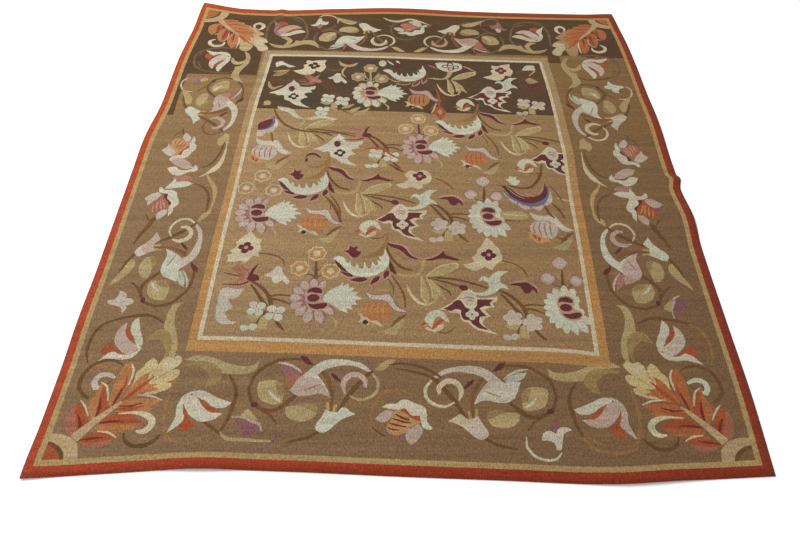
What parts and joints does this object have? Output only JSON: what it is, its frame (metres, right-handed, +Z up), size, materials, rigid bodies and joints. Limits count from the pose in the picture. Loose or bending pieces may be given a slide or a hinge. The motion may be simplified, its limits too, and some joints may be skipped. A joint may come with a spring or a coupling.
{
  "type": "flat woven tapestry rug",
  "caption": "Flat-woven wool tapestry rug with a floral field, scrolling flower border and plain guard bands; lies flat on a floor.",
  "frame": {"origin": "middle of the rug's outline box, on the floor", "axes": "+Z up, +Y along the rug away from its near end, +X across it"},
  "size_m": [1.9614, 2.2256, 0.0169],
  "materials": {
    "woven_wool": "matt ribbed wool tapestry, tan ground with a dark brown band, floral pattern, brick red and straw guard bands"
  },
  "bodies": {
    "root": {"rug": "woven_wool"}
  },
  "joints": []
}
